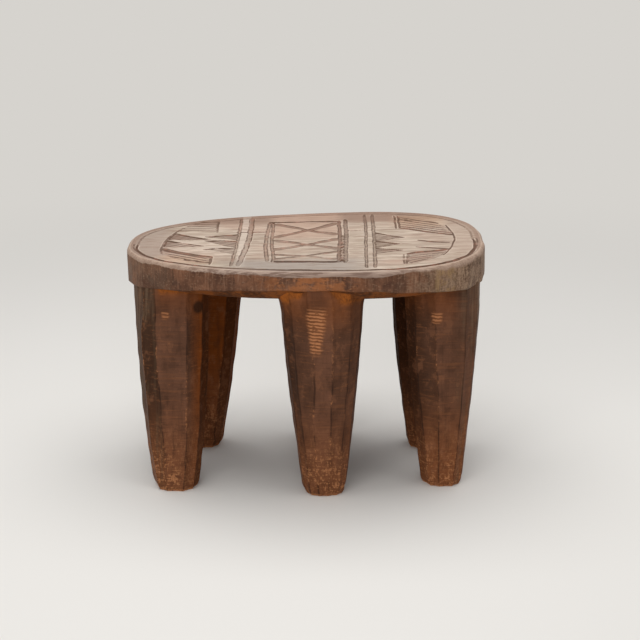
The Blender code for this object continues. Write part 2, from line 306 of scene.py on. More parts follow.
def to_line(points, x, y):
    """Distance from each place to a line of straight runs, how far along it the nearest spot is as a share
    of its length, and that length."""
    runs = np.linalg.norm(np.diff(points, axis=0), axis=1)
    nearest, share = np.full(len(x), 1.0), np.zeros(len(x))
    for number, (start, run) in enumerate(zip(points[:-1], np.diff(points, axis=0))):
        part = np.clip(((x - start[0]) * run[0] + (y - start[1]) * run[1]) / (run @ run), 0, 1)
        distance = np.hypot(x - start[0] - part * run[0], y - start[1] - part * run[1])
        closer = distance < nearest
        nearest = np.where(closer, distance, nearest)
        share = np.where(closer, (runs[:number].sum() + part * runs[number]) / runs.sum(), share)
    return nearest, share, runs.sum()


def is_inside(corners, x, y):
    """Which places lie inside an outline."""
    found = np.zeros(len(x), dtype=bool)
    for (x0, y0), (x1, y1) in zip(corners, np.roll(corners, -1, axis=0)):
        if y0 != y1:
            found ^= ((y0 > y) != (y1 > y)) & (x < (x1 - x0) * (y - y0) / (y1 - y0) + x0)
    return found


def close_to(points, room, x, y):
    """Numbers of the places that lie in the box round a line, with so much room to spare."""
    low, high = points.min(axis=0) - room, points.max(axis=0) + room
    return np.flatnonzero((x > low[0]) & (x < high[0]) & (y > low[1]) & (y < high[1]))


FAR = 0.004
SWAY_LENGTH = 0.019
WANDER_LENGTH = 0.034
WIDTH_SWAY = 0.12
RUN_OUT_LENGTH = 0.006
RUN_OUT_WIDTH = 0.6
STEEPNESS = 1.6
WALL_WIDTH = 0.0016
SCORE_DEPTH = 0.0007
SCORE_HALF_WIDTH = 0.0016


def carving(x, y):
    """At each place, how deep the knife went, how far inside the edge of a cut it is, how dark the floor of
    that cut is, how near its middle line, and how far the nearest line scored across the floor is."""
    spots = np.stack([x, y], axis=1)
    sway = undulation(spots, SWAY_LENGTH, 5)
    x = x + 0.0005 * undulation(spots, WANDER_LENGTH, 6)
    y = y + 0.0007 * undulation(spots, WANDER_LENGTH, 7)
    depth, dark, core = np.zeros(len(x)), np.zeros(len(x)), np.zeros(len(x))
    inside, scored = np.full(len(x), -FAR), np.full(len(x), FAR)
    for points, half_width, end_half_width, deepest, stain, runs_out in grooves:
        near = close_to(points, 1.3 * max(half_width, end_half_width) + FAR, x, y)
        away, share, length = to_line(points, x[near], y[near])
        width = (half_width + (end_half_width - half_width) * share) * (1 + WIDTH_SWAY * sway[near])
        if runs_out:
            to_end = np.minimum(share, 1 - share) * length
            full = np.clip(to_end / min(RUN_OUT_LENGTH, 0.25 * length), 0, 1)
            width *= RUN_OUT_WIDTH + (1 - RUN_OUT_WIDTH) * full
        nearer = width - away > inside[near]
        core[near] = np.where(nearer, np.clip(1 - away / width, 0, 1), core[near])
        depth[near] = np.maximum(depth[near], deepest * np.clip(STEEPNESS - STEEPNESS * away / width, 0, 1))
        dark[near] = np.where(nearer, stain, dark[near])
        inside[near] = np.where(nearer, width - away, inside[near])
    in_groove = inside > 0
    for corners, deepest, stain, slope, spacing in hollows:
        near = close_to(corners, FAR, x, y)
        away, _, _ = to_line(np.vstack([corners, corners[:1]]), x[near], y[near])
        inward = np.where(is_inside(corners, x[near], y[near]), away, -away) + 0.0005 * sway[near]
        nearer = (inward > inside[near]) & ~in_groove[near]
        rung = (y[near] - slope * x[near]) / spacing + 0.07 * sway[near]
        depth[near] = np.maximum(depth[near], deepest * np.clip(inward / WALL_WIDTH, 0, 1))
        dark[near] = np.where(nearer, stain, dark[near])
        core[near] = np.where(nearer, 0, core[near])
        inside[near] = np.where(nearer, inward, inside[near])
        scored[near] = np.where(inward > 0, np.abs(rung % 1 - 0.5) * spacing, scored[near])
    depth += SCORE_DEPTH * np.clip(1 - scored / SCORE_HALF_WIDTH, 0, 1)
    return depth, inside, dark, core, scored


# The slab starts as a square grid, is rounded into the oval, and its rim is pulled down ring by ring.
FACE_COLUMNS = 146
FACE_ROWS = 96
bpy.ops.object.select_all(action="DESELECT")
bpy.ops.mesh.primitive_grid_add(x_subdivisions=FACE_COLUMNS, y_subdivisions=FACE_ROWS, size=2)
seat = bpy.context.object
seat.name = "carved_seat"
square = places(seat)
disc_x = square[:, 0] * np.sqrt(1 - square[:, 1] ** 2 / 2)
disc_y = square[:, 1] * np.sqrt(1 - square[:, 0] ** 2 / 2)
from_centre, turn = np.hypot(disc_x, disc_y), np.arctan2(disc_y, disc_x)
across, along = unit_edge(turn)
x, y = oval(from_centre * across, from_centre * along, EDGE_WIDTH)
move_to(seat, np.stack([x, y, np.full(len(x), TOP)], axis=1))
note(seat, "turn", turn)
note(seat, "drop", np.zeros(len(x)))
note(seat, "under", np.zeros(len(x)))

bpy.ops.object.mode_set(mode="EDIT")
bpy.ops.mesh.select_mode(type="EDGE")
bpy.ops.mesh.select_all(action="DESELECT")
bpy.ops.mesh.select_non_manifold()
bpy.ops.object.mode_set(mode="OBJECT")

# The adze left the rim in flat facets, about as wide as its blade.
BLOWS = 34
BLOW_SHIFT = 0.3
BLOW_LEAN = 0.025
CORNER_SHARE = 0.55
chance = np.random.default_rng(3)
hewn = np.sort((np.arange(BLOWS) + chance.uniform(-BLOW_SHIFT, BLOW_SHIFT, BLOWS)) / BLOWS * 2 * pi)
corners = np.stack(oval(*unit_edge(hewn), 0.0), axis=1)
bulges = np.stack(oval(*unit_edge(hewn + np.diff(hewn, append=hewn[0] + 2 * pi) / 2), 0.0), axis=1)
strokes = np.roll(corners, -1, axis=0) - corners
facet_normals = np.stack([strokes[:, 1], -strokes[:, 0]], axis=1) / np.linalg.norm(strokes, axis=1)[:, None]
facet_middles = CORNER_SHARE * corners + (1 - CORNER_SHARE) * bulges
facet_reach = (facet_normals * facet_middles).sum(axis=1)
facet_lean = chance.normal(0, BLOW_LEAN, BLOWS)
SIDE_UNEVEN = 0.0014
LOWER_EDGE_UNEVEN = 0.0006


def around(turn, seed, lowest=3, highest=23):
    """Unevenness that runs round the rim and closes on itself."""
    chance = np.random.default_rng(seed)
    times = np.arange(lowest, highest)
    size = chance.normal(size=len(times)) / np.sqrt(len(times))
    return np.sin(turn[:, None] * times + chance.uniform(0, 2 * pi, len(times))) @ size


def side_end(turn):
    """How far below the face the rim's side ends: least in front and behind, most at the two ends."""
    across, _ = unit_edge(turn)
    return SIDE_HEIGHT + END_LOWER * across**2 + LOWER_EDGE_UNEVEN * around(turn, 24, 5, 30)


def rim_row(turn, inset, drop, hewn):
    """One ring of the slab's outside, so far in from the outline and below the face, hewn by so much."""
    x, y = oval(*unit_edge(turn), inset)
    limit = facet_reach[:, None] - inset - facet_lean[:, None] * (SEAT_THICKNESS / 2 - drop)
    over = (facet_normals @ np.stack([x, y]) / limit).max(axis=0)
    shrink = 1 + hewn * (1 / np.maximum(1, over) - 1)
    return np.stack([x * shrink, y * shrink, TOP - drop], axis=1)


# Each row is so far in from the outline, and below the face by a fixed drop and a share of the side's.
rows = []
EDGE_STEPS = 7
for step in range(1, EDGE_STEPS + 1):
    angle = step / EDGE_STEPS * pi / 2
    rows.append((EDGE_WIDTH * (1 - sin(angle)), EDGE_DROP * (1 - cos(angle)), 0, 0))
SIDE_STEPS = 12
for step in range(1, SIDE_STEPS + 1):
    share = step / SIDE_STEPS
    rows.append((0.0, EDGE_DROP * (1 - share) - LOWER_ROUND * share, share, 0))
ROUND_STEPS = 3
for step in range(1, ROUND_STEPS + 1):
    angle = step / ROUND_STEPS * pi / 2
    rows.append((LOWER_ROUND * (1 - cos(angle)), -LOWER_ROUND * (1 - sin(angle)), 1, step / ROUND_STEPS))
UNDERCUT_STEPS = 4
for step in range(1, UNDERCUT_STEPS + 1):
    share = step / UNDERCUT_STEPS
    rows.append((LOWER_ROUND + (UNDERCUT - LOWER_ROUND) * share, SEAT_THICKNESS * share, 1 - share, 1))
for inset in (0.025, 0.045, 0.070, 0.095, 0.120):
    rows.append((inset, SEAT_THICKNESS, 0, 1))

for inset, fixed_drop, side_share, under in rows:
    bpy.ops.object.mode_set(mode="EDIT")
    bpy.ops.mesh.extrude_region()
    bpy.ops.object.mode_set(mode="OBJECT")
    newest = np.empty(len(seat.data.vertices), dtype=bool)
    seat.data.vertices.foreach_get("select", newest)
    turn = noted(seat, "turn")[newest]
    drop = fixed_drop + side_share * side_end(turn)
    below_edge = np.clip(drop / EDGE_DROP, 0, 1)
    uneven = SIDE_UNEVEN * below_edge * around(turn, 21) * (under == 0)
    points, drops, unders = places(seat), noted(seat, "drop"), noted(seat, "under")
    points[newest] = rim_row(turn, inset, drop + uneven, below_edge)
    drops[newest] = drop
    unders[newest] = under
    move_to(seat, points)
    note(seat, "drop", drops)
    note(seat, "under", unders)
bpy.ops.object.mode_set(mode="EDIT")
bpy.ops.mesh.merge(type="CENTER")
bpy.ops.object.mode_set(mode="OBJECT")

# The face gets a finer mesh near the knife cuts, then sinks to their depth and to the worn hollow.
FINER_WITHIN = 0.0022
FACE_TOLERANCE = 1e-6
WORN_REACH = 0.42
BEAD_REACH = 0.035
FACE_UNEVEN = 0.00035
centres = np.empty(len(seat.data.polygons) * 3)
seat.data.polygons.foreach_get("center", centres)
centres = centres.reshape(-1, 3)
_, inside, _, _, _ = carving(centres[:, 0], centres[:, 1])
bpy.context.tool_settings.mesh_select_mode = (False, False, True)
for group in (seat.data.vertices, seat.data.edges):
    group.foreach_set("select", np.zeros(len(group), dtype=bool))
seat.data.polygons.foreach_set("select", (inside > -FINER_WITHIN) & (centres[:, 2] > TOP - FACE_TOLERANCE))
bpy.ops.object.mode_set(mode="EDIT")
bpy.ops.mesh.subdivide(number_cuts=2)
bpy.ops.mesh.select_all(action="SELECT")
bpy.ops.mesh.normals_make_consistent(inside=False)
bpy.ops.object.mode_set(mode="OBJECT")

points = places(seat)
on_face = noted(seat, "drop") == 0
x, y = points[on_face, 0], points[on_face, 1]
cut, inside, dark, core, scored = carving(x, y)
reach = beyond_rim(x, y, EDGE_WIDTH)
worn = np.clip((1 - reach) / WORN_REACH, 0, 1)
bead = np.clip((1 - reach) / BEAD_REACH, 0, 1)
points[on_face, 2] -= cut + HOLLOWED * worn * worn * (3 - 2 * worn) + FIELD_DROP * bead * bead
points[on_face, 2] += FACE_UNEVEN * undulation(points[on_face, :2], 0.06, 2) * bead
move_to(seat, points)
across, along = unit_place(x, y, 0.0)
past_ring = beyond_rim(x, y + RING_SHIFT, ring_inset(np.arctan2(along, across))) > 1
border = (1 - 0.7 * bead) * past_ring
carved = {"inside": inside, "dark": dark, "core": core, "scored": scored, "border": border}
off_face = {"inside": -FAR, "scored": FAR}
for name, values in carved.items():
    everywhere = np.full(len(points), off_face.get(name, 0), dtype=float)
    everywhere[on_face] = values
    note(seat, name, everywhere)
seat.data.transform(SEAT_FRAME)
bpy.ops.object.shade_smooth()


class Socket:
    """An output of a material's nodes, which takes part in Python sums."""

    def __init__(self, tree, output):
        self.tree = tree
        self.output = output

    def node(self, kind, settings=None, inputs=None, output=0):
        """Adds a node, sets it up, feeds its sockets with values or other outputs, and gives one output."""
        made = self.tree.nodes.new("ShaderNode" + kind)
        for name, value in (settings or {}).items():
            setattr(made, name, value)
        for key, value in (inputs or {}).items():
            if isinstance(value, Socket):
                self.tree.links.new(value.output, made.inputs[key])
            else:
                made.inputs[key].default_value = value
        return Socket(self.tree, made.outputs[output])

    def maths(self, operation, first, second):
        return self.node("Math", {"operation": operation}, {0: first, 1: second})

    def __add__(self, other):
        return self.maths("ADD", self, other)

    def __mul__(self, other):
        return self.maths("MULTIPLY", self, other)

    def __sub__(self, other):
        return self.maths("SUBTRACT", self, other)

    def __rsub__(self, other):
        return self.maths("SUBTRACT", other, self)

    __radd__ = __add__
    __rmul__ = __mul__

    def away_from(self, middle):
        """How far a value is from another, either way."""
        gap = self - middle
        return gap.maths("ABSOLUTE", gap, 0.0)

    def rise(self, low, high):
        """0 up to one value, 1 beyond another, and a smooth rise between them."""
        inputs = {"Value": self, "From Min": low, "From Max": high}
        return self.node("MapRange", {"interpolation_type": "SMOOTHSTEP"}, inputs)

    def blend(self, first, second):
        """This value's share of the second colour over the first."""
        return self.node("Mix", {"data_type": "RGBA"}, {0: self, 6: first, 7: second}, 2)

    def noise(self, stretch, detail=4.0, roughness=0.55):
        """Noise on this place, with so many features to the metre along each axis."""
        spread = self.node("VectorMath", {"operation": "MULTIPLY"}, {0: self, 1: stretch})
        inputs = {"Vector": spread, "Scale": 1.0, "Detail": detail, "Roughness": roughness}
        return spread.node("TexNoise", None, inputs)

    def noted(self, name):
        """The number that each vertex keeps by this name."""
        return self.node("Attribute", {"attribute_name": name}, None, 2)

    def bump(self, height, depth, strength=1.0, under=None):
        """Fine relief of so much depth, laid over another where one is given."""
        inputs = {"Height": height, "Distance": depth, "Strength": strength}
        if under:
            inputs["Normal"] = under
        return self.node("Bump", None, inputs)


def colour(red, green, blue):
    """A colour as a picture shows it, 0 to 255, in the numbers that a shader takes."""
    shown = np.array([red, green, blue]) / 255
    linear = np.where(shown <= 0.04045, shown / 12.92, ((shown + 0.055) / 1.055) ** 2.4)
    return (*linear.tolist(), 1.0)


def start_wood(name, gloss):
    """A new material, its shader and the place on the piece that its patterns follow."""
    material = bpy.data.materials.new(name)
    material.use_nodes = True
    shader = material.node_tree.nodes["Principled BSDF"]
    shader.inputs["Specular IOR Level"].default_value = gloss
    start = Socket(material.node_tree, None)
    return material, shader, start.node("TexCoord", None, None, "Object")


def finish_wood(shader, **sockets):
    """Feeds the shader's sockets, each by its own name."""
    for name, source in sockets.items():
        source.tree.links.new(source.output, shader.inputs[name.replace("_", " ").title()])


seat_wood, shader, place = start_wood("seat_wood", 0.14)
rightward = place.node("SeparateXYZ", None, {0: place}, 0)
backward = place.node("SeparateXYZ", None, {0: place}, 1)
grain = place.noise((16, 170, 170), 6, 0.6)
threads = place.noise((38, 210, 210), 3, 0.5)
tints = place.noise((55, 80, 80), 3, 0.6)
fibres = place.noise((26, 620, 620), 4, 0.65)
patches = place.noise((8, 13, 13), 4, 0.55)
blotches = place.noise((34, 34, 34), 5, 0.6)
streaks = place.noise((430, 430, 36), 5, 0.7)
speckle = place.noise((210, 420, 420), 3, 0.6)
drop = place.noted("drop")
inside = place.noted("inside")
dark = place.noted("dark")

# The handled face has dried to a pale tan, painted paler still as a sheen; it is palest between the
# triangles, rosy in places and grey in front.
top = grain.rise(0.36, 0.64).blend(colour(160, 140, 124), colour(195, 178, 161))
top = (patches.rise(0.48, 0.64) * 0.6).blend(top, colour(181, 151, 133))
top = (patches.rise(0.46, 0.36) * 0.5).blend(top, colour(166, 150, 131))
top = (backward.rise(0.074, 0.106) * 0.9).blend(top, colour(140, 114, 98))
top = (rightward.rise(-0.160, -0.188) * 0.85).blend(top, colour(156, 138, 125))
top = (rightward.rise(0.165, 0.195) * 0.6).blend(top, colour(174, 152, 136))
rosy = rightward.away_from(0.0).rise(0.055, 0.035) * backward.rise(-0.01, 0.04)
top = (rosy * 0.7).blend(top, colour(180, 150, 131))
warm = rightward.away_from(-0.150).rise(0.045, 0.02) * backward.away_from(-0.075).rise(0.03, 0.012)
warm = warm + rightward.away_from(0.150).rise(0.045, 0.02) * backward.away_from(0.09).rise(0.04, 0.015)
top = (warm * 0.3).blend(top, colour(198, 160, 126))
bare = rightward.away_from(-0.125).rise(0.06, 0.03) * backward.away_from(-0.01).rise(0.06, 0.03)
top = (bare * 0.45).blend(top, colour(203, 186, 170))
band = rightward.away_from(-0.0795).rise(0.0065, 0.004)
top = (band * 0.5).blend(top, colour(204, 188, 174))
grey = (backward + 0.04 * (patches - 0.5)).rise(-0.070, -0.100)
grey = grey * rightward.away_from(-0.01).rise(0.11, 0.05)
top = (grey * 0.8).blend(top, colour(150, 139, 130))
top = (fibres.rise(0.50, 0.68) * 0.42).blend(top, colour(116, 92, 77))
top = (threads.rise(0.54, 0.66) * 0.4).blend(top, colour(124, 97, 79))
top = (place.noted("border") * 0.8).blend(top, colour(134, 107, 91))

# The cuts have floors from rosy brown to grey, darkest along the middle, with painted shade along their
# edges and a painted highlight on their pale lips.
# Painted highlight: a pale line along the lip outside each cut.
lip_highlight = inside.away_from(-0.0009).rise(0.0011, 0.0002) * dark.rise(0.2, 0.6)
top = (lip_highlight * blotches.rise(0.40, 0.62) * 0.6).blend(top, colour(208, 188, 170))
cut = inside.rise(-0.0004, 0.0004)
cut_floor = tints.rise(0.40, 0.60).blend(colour(118, 87, 73), colour(138, 93, 76))
cut_floor = (threads * 0.5 + speckle * 0.5).rise(0.42, 0.56).blend(colour(90, 68, 53), cut_floor)
cut_floor = (grey * 0.9).blend(cut_floor, colour(88, 76, 68))
right_band = rightward.rise(0.046, 0.050) * rightward.rise(0.100, 0.090)
cut_floor = (right_band * 0.7).blend(cut_floor, colour(104, 88, 76))
top = (cut * dark.rise(-0.1, 1.0)).blend(top, cut_floor)
spotted = (tints * 0.6 + speckle * 0.4).rise(0.36, 0.54)
core = place.noted("core").rise(0.35, 0.75) * dark.rise(0.4, 0.7) * spotted
top = (core * 0.8).blend(top, colour(84, 60, 45))
# Painted shade: a dark line just inside the edge of each cut.
cut_edge_shade = inside.away_from(0.0004).rise(0.0012, 0.0003) * dark.rise(0.05, 0.25) * tints.rise(0.64, 0.46)
top = (cut_edge_shade * 0.7).blend(top, colour(82, 60, 46))
score = place.noted("scored").rise(0.0023, 0.0008) * (0.6 + 0.4 * blotches)
top = (score * cut).blend(top, colour(84, 60, 45))

# The rim and the underside keep their dark brown, weathered grey on the end grain and rusty at the front. On
# the underside it is the unhandled wood's orange brown, painted darker as shade under the seat.
side = blotches.rise(0.36, 0.66).blend(colour(84, 55, 40), colour(122, 83, 61))
side = (tints.rise(0.52, 0.66) * 0.6).blend(side, colour(72, 47, 36))
side = (patches.rise(0.54, 0.66) * streaks.rise(0.42, 0.54) * 0.35).blend(side, colour(114, 94, 77))
ends = rightward.rise(-0.17, -0.225) * 0.15 + rightward.rise(0.10, 0.205) * 0.75
runs = place.noise((170, 170, 34), 5, 0.7)
weathered = (runs * 0.4 + speckle * 0.3 + tints * 0.3).rise(0.41, 0.59)
weathered = weathered.blend(colour(96, 72, 56), colour(180, 151, 124))
side = ends.blend(side, weathered)
side = (streaks.rise(0.52, 0.66) * 0.5).blend(side, colour(58, 39, 29))
side = (streaks.rise(0.46, 0.36) * 0.35).blend(side, colour(146, 114, 92))
side = (speckle.rise(0.56, 0.66) * 0.3).blend(side, colour(150, 120, 96))
lichen = rightward.away_from(0.171).rise(0.017, 0.008) * backward.rise(-0.02, -0.05)
lichen = lichen * streaks.rise(0.40, 0.54)
side = (lichen * tints.rise(0.64, 0.46) * 0.7).blend(side, colour(158, 127, 90))
rust = rightward.away_from(0.006).rise(0.085, 0.02) * (tints * 0.6 + speckle * 0.4).rise(0.42, 0.58)
side = (rust * 0.65).blend(side, colour(164, 101, 58))
# Painted shade: the underside and the undercut below the rim get darker orange browns, as in shadow.
unhandled_in_shade = (blotches * 0.6 + speckle * 0.4).rise(0.40, 0.60).blend(colour(66, 36, 15), colour(126, 70, 28))
side = place.noted("under").rise(0.3, 1.0).blend(side, unhandled_in_shade)

# Along the rim's upper edge the dark skin is worn off down to an uneven line, softer at the right end.
bead = (grain * 0.5 + fibres * 0.5).rise(0.42, 0.58).blend(colour(112, 89, 77), colour(166, 144, 129))
# A pale line is painted as a highlight along the crest of the rounded edge, and below it a darker band as
# painted shade where the edge turns down.
bead = (drop.rise(0.0012, 0.0004) * 0.5).blend(bead, colour(188, 166, 149))
bead = (drop.rise(0.0016, 0.0050) * 0.4).blend(bead, colour(124, 100, 87))
bead = (rightward.away_from(0.0).rise(0.09, 0.18) * 0.45).blend(bead, colour(180, 152, 131))
far_end = rightward.rise(0.10, 0.19)
worn_to = 0.0047 + 0.0028 * rightward.away_from(0.035).rise(0.10, 0.05)
worn_to = worn_to - 0.0014 * rightward.away_from(0.145).rise(0.03, 0.01)
worn_to = worn_to + 0.001 * rightward.rise(-0.15, -0.20)
worn_to = worn_to + 0.0025 * (tints - 0.5) + 0.003 * (speckle - 0.5)
worn_to = worn_to + far_end * (0.008 * blotches - 0.003)
softness = 0.0006 + 0.0018 * far_end
outside = (drop - worn_to).rise(-1.0 * softness, softness).blend(bead, side)
whole = drop.rise(0.0, 0.0006).blend(top, outside)
roughness = 0.58 + 0.2 * (grain - 0.5) + 0.1 * cut
raised = grain * 0.5 + fibres * 0.6 + streaks * drop.rise(0.003, 0.008) * 0.6
relief = place.bump(raised, 0.0007, 0.6)
relief = place.bump(speckle, 0.0003, 0.4, relief)
finish_wood(shader, base_color=whole, roughness=roughness, normal=relief)
seat.data.materials.append(seat_wood)
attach(seat, "root")
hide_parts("seat")


# Legs: six, left standing when the block under the seat was hewn away, so the grain crosses them.
# Each is cut in long flat facets that swell up to the seat and taper to a flat sole, and its foot is rubbed
# pale. The wood under the seat and on the inner sides was never handled and keeps its orange; on the inner
# sides it is painted darker towards the right as shade, and at the leg tops under the seat a painted glow of
# light bounced from the floor is laid over it.

ROOT_DEPTH = 0.070
FOOT_DEPTH = 0.048
SQUARENESS = 2.4
ROOT_FLARE = 0.0045
FOOT_ROUND = 0.009
INTO_SEAT = 0.026
UNDER_RIM = 0.055
FLUSH_FRONT = (-0.008, 0.040)
UNDERSIDE = SEAT_HEIGHT - SEAT_THICKNESS / 2 - SEAT_THICKNESS / 2 / cos(SEAT_TILT)
STROKE_HEIGHTS = (0.04, 0.25, 0.5, 0.75, 0.97)
STROKE_TURN = 0.03
STROKE_SHIFT = 0.02
STROKE_BITE = 0.0008
FACING_LIMIT = 0.15
SLOPE_STEP = 0.01
HOLLOW_GROUND = 0.001
RIDGE_WIDTH = 0.004
ROOT_FADE = 0.007
SOLE_ROUND = 0.003
NOTCH_SPACING = 0.0044
LEG_COLUMNS = 180
LEG_ROWS = 101


def flush_share(x, y):
    """1 where the front leg runs up over the rim with no ledge between, 0 away from there."""
    return np.clip(np.minimum(x - FLUSH_FRONT[0], FLUSH_FRONT[1] - x) / 0.014, 0, 1) * (y < 0)


def shape_leg(name, root, foot, widths, swell, facets, seed):
    """Hews a leg: its middle at the seat and at the floor, its widths there, and for each facet the way it
    faces and how pale it is, a tone that also carries a painted sheen."""
    chance = np.random.default_rng(seed)
    top = UNDERSIDE + root[0] * tan(SEAT_TILT)
    bpy.ops.object.select_all(action="DESELECT")
    bpy.ops.mesh.primitive_cylinder_add(vertices=LEG_COLUMNS, radius=1, depth=2)
    leg = bpy.context.object
    leg.name = "hewn_" + name
    bpy.ops.object.mode_set(mode="EDIT")
    bpy.ops.mesh.select_mode(type="EDGE")
    bpy.ops.mesh.select_all(action="DESELECT")
    bpy.ops.object.mode_set(mode="OBJECT")
    ends = np.empty(len(leg.data.edges) * 2, dtype=int)
    leg.data.edges.foreach_get("vertices", ends)
    heights = places(leg)[ends, 2].reshape(-1, 2)
    leg.data.edges.foreach_set("select", heights[:, 0] != heights[:, 1])
    bpy.ops.object.mode_set(mode="EDIT")
    bpy.ops.mesh.subdivide(number_cuts=LEG_ROWS - 1)
    bpy.ops.object.mode_set(mode="OBJECT")

    points = places(leg)
    turn = np.arctan2(points[:, 1], points[:, 0])
    z = (points[:, 2] + 1) / 2 * (top + INTO_SEAT)

    def middle(height):
        share = np.clip(height / top, 0, 1.1)
        return foot[0] + (root[0] - foot[0]) * share, foot[1] + (root[1] - foot[1]) * share

    def outward(height, bearing):
        """How far the leg's skin reaches in one direction, from the origin, at a height."""
        full = 1 - (1 - np.clip(height / top, 0, 1)) ** swell
        half_width = (widths[1] + (widths[0] - widths[1]) * full) / 2
        half_depth = (FOOT_DEPTH + (ROOT_DEPTH - FOOT_DEPTH) * full) / 2
        dual = SQUARENESS / (SQUARENESS - 1)
        skin = (half_width * abs(cos(bearing))) ** dual + (half_depth * abs(sin(bearing))) ** dual
        x, y = middle(height)
        return skin ** (1 / dual) + x * cos(bearing) + y * sin(bearing)

    middle_x, middle_y = middle(z)
    bounds = []
    for facing in facets:
        reach = np.full(len(z), 1.0)
        for share in STROKE_HEIGHTS:
            bearing = radians(facing) + chance.normal(0, STROKE_TURN)
            height = top * (share + chance.normal(0, STROKE_SHIFT))
            out = outward(height, bearing) - chance.uniform(0, STROKE_BITE)
            slope = outward(height + SLOPE_STEP, bearing) - outward(height - SLOPE_STEP, bearing)
            slope /= 2 * SLOPE_STEP
            room = out + slope * (z - height) - middle_x * cos(bearing) - middle_y * sin(bearing)
            facing_it = np.cos(turn - bearing)
            stroke_reach = room / np.maximum(facing_it, FACING_LIMIT)
            reach = np.minimum(reach, np.where(facing_it > FACING_LIMIT, stroke_reach, 1.0))
        bounds.append(reach)
    ordered, order = np.sort(bounds, axis=0), np.argsort(bounds, axis=0)
    radius, facet = ordered[0], order[0]
    facing = np.radians(list(facets))
    bend = np.abs(np.sin(facing[order[1]] - facing[facet]))
    to_ridge = (ordered[1] - radius) / np.maximum(0.2, bend)
    radius = radius - HOLLOW_GROUND * (1 - np.exp(-to_ridge / RIDGE_WIDTH))
    below = UNDERSIDE + (middle_x + radius * np.cos(turn)) * tan(SEAT_TILT) - z
    above, below = np.maximum(0, -below), np.maximum(0, below)
    outside = np.array(root) / np.linalg.norm(root)
    outwards = np.cos(turn) * outside[0] + np.sin(turn) * outside[1]
    radius = radius + ROOT_FLARE * np.exp(-below / ROOT_FADE) * np.clip(1 - outwards, 0, 1)
    radius = radius - SOLE_ROUND * np.clip(1 - z / FOOT_ROUND, 0, 1) ** 2
    x, y = middle_x + radius * np.cos(turn), middle_y + radius * np.sin(turn)
    flush = flush_share(x, y)
    inset = 0.0008 - 0.0022 * flush + 0.004 * np.clip(above / (0.006 + 0.016 * flush), 0, 1)
    beyond = 1 + (np.maximum(1, beyond_rim(x, y, inset)) - 1) * np.clip(1 - below / UNDER_RIM, 0, 1)
    shaped = np.stack([x / beyond, y / beyond, z], axis=1)
    shelter = np.clip((1 - beyond_rim(shaped[:, 0], shaped[:, 1], 0.0)) / 0.035, 0, 1)
    uneven = 0.0004 * undulation(shaped, 0.03, seed + 1) * np.clip(below / 0.01, 0, 1)
    shaped[:, :2] += uneven[:, None]
    move_to(leg, shaped)
    note(leg, "ridge", np.exp(-to_ridge / 0.0015))
    note(leg, "tone_and_sheen", np.array(list(facets.values()))[facet])
    note(leg, "root", np.exp(-below / ROOT_FADE) * shelter)
    end_grain = np.clip(1.6 * np.cos(turn) * np.sign(root[0]) - 0.5, 0, 1)
    note(leg, "end", end_grain * (abs(root[0]) > ROOT_DEPTH))
    note(leg, "inner", np.clip(-0.9 - 2.6 * outwards, 0, 1))
    bpy.ops.object.shade_smooth_by_angle(angle=radians(50))
    leg.data.materials.append(leg_wood)
    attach(leg, "root")
    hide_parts(name)


leg_wood, shader, place = start_wood("leg_wood", 0.07)
rightward = place.node("SeparateXYZ", None, {0: place}, 0)
backward = place.node("SeparateXYZ", None, {0: place}, 1)
height = place.node("SeparateXYZ", None, {0: place}, 2)
grain = place.noise((14, 150, 300), 5, 0.65)
mottle = place.noise((70, 70, 45), 5, 0.65)
lines = place.noise((36, 60, 800), 3, 0.55)
streaks = place.noise((150, 150, 6), 5, 0.65)
blotches = place.noise((22, 22, 14), 5, 0.6)
speckle = place.noise((420, 420, 260), 3, 0.65)
chips = place.noise((300, 300, 110), 4, 0.7)
ridge = place.noted("ridge")
tone_and_sheen = place.noted("tone_and_sheen")
root = place.noted("root")
inner = place.noted("inner")

# Brown, with a rosy bloom painted on the paler facets as sheen, redder to the foot, dark along the edges
# between facets.
wood = (tone_and_sheen * 0.7 + blotches.rise(0.35, 0.65) * 0.3).blend(colour(60, 38, 25), colour(112, 75, 56))
low = height.rise(0.15, 0.02)
wood = (low * (0.65 + 0.35 * rightward.rise(0.10, 0.16))).blend(wood, colour(122, 73, 44))
# On the inner sides the unhandled orange is painted darker towards the right and on the low-toned facets, as
# shade between the legs.
unhandled_and_shade = rightward.rise(-0.06, 0.06).blend(colour(120, 60, 15), colour(64, 34, 15))
unhandled_and_shade = (tone_and_sheen.rise(0.45, 0.0) * 0.7).blend(unhandled_and_shade, colour(46, 27, 15))
wood = (inner * (0.9 - 0.65 * low)).blend(wood, unhandled_and_shade)
wood = (mottle.rise(0.52, 0.64) * 0.32).blend(wood, colour(50, 31, 21))
wood = (mottle.rise(0.46, 0.36) * 0.35).blend(wood, colour(134, 88, 62))
wood = (streaks.rise(0.50, 0.68) * 0.3).blend(wood, colour(50, 32, 23))
end = place.noted("end")
wood = (end * streaks.rise(0.50, 0.60) * 0.4).blend(wood, colour(108, 87, 66))
weathered = streaks.rise(0.40, 0.60).blend(colour(80, 60, 46), colour(126, 102, 81))
wood = (end * height.rise(0.17, 0.27) * (0.4 + 0.3 * rightward.rise(-0.1, 0.1))).blend(wood, weathered)
wood = (grain.rise(0.52, 0.68) * 0.3).blend(wood, colour(136, 86, 54))
wood = (lines.rise(0.54, 0.66) * 0.28).blend(wood, colour(56, 35, 25))
wood = (ridge.rise(0.35, 0.85) * blotches.rise(0.62, 0.46) * 0.72).blend(wood, colour(40, 25, 18))
scratches = place.noise((90, 90, 560), 3, 0.6)
rubbed = height.rise(0.11, 0.0) * (chips * 0.35 + scratches * 0.3 + speckle * 0.35).rise(0.49, 0.58)
rubbed = rubbed * (0.35 + 0.65 * blotches.rise(0.42, 0.58))
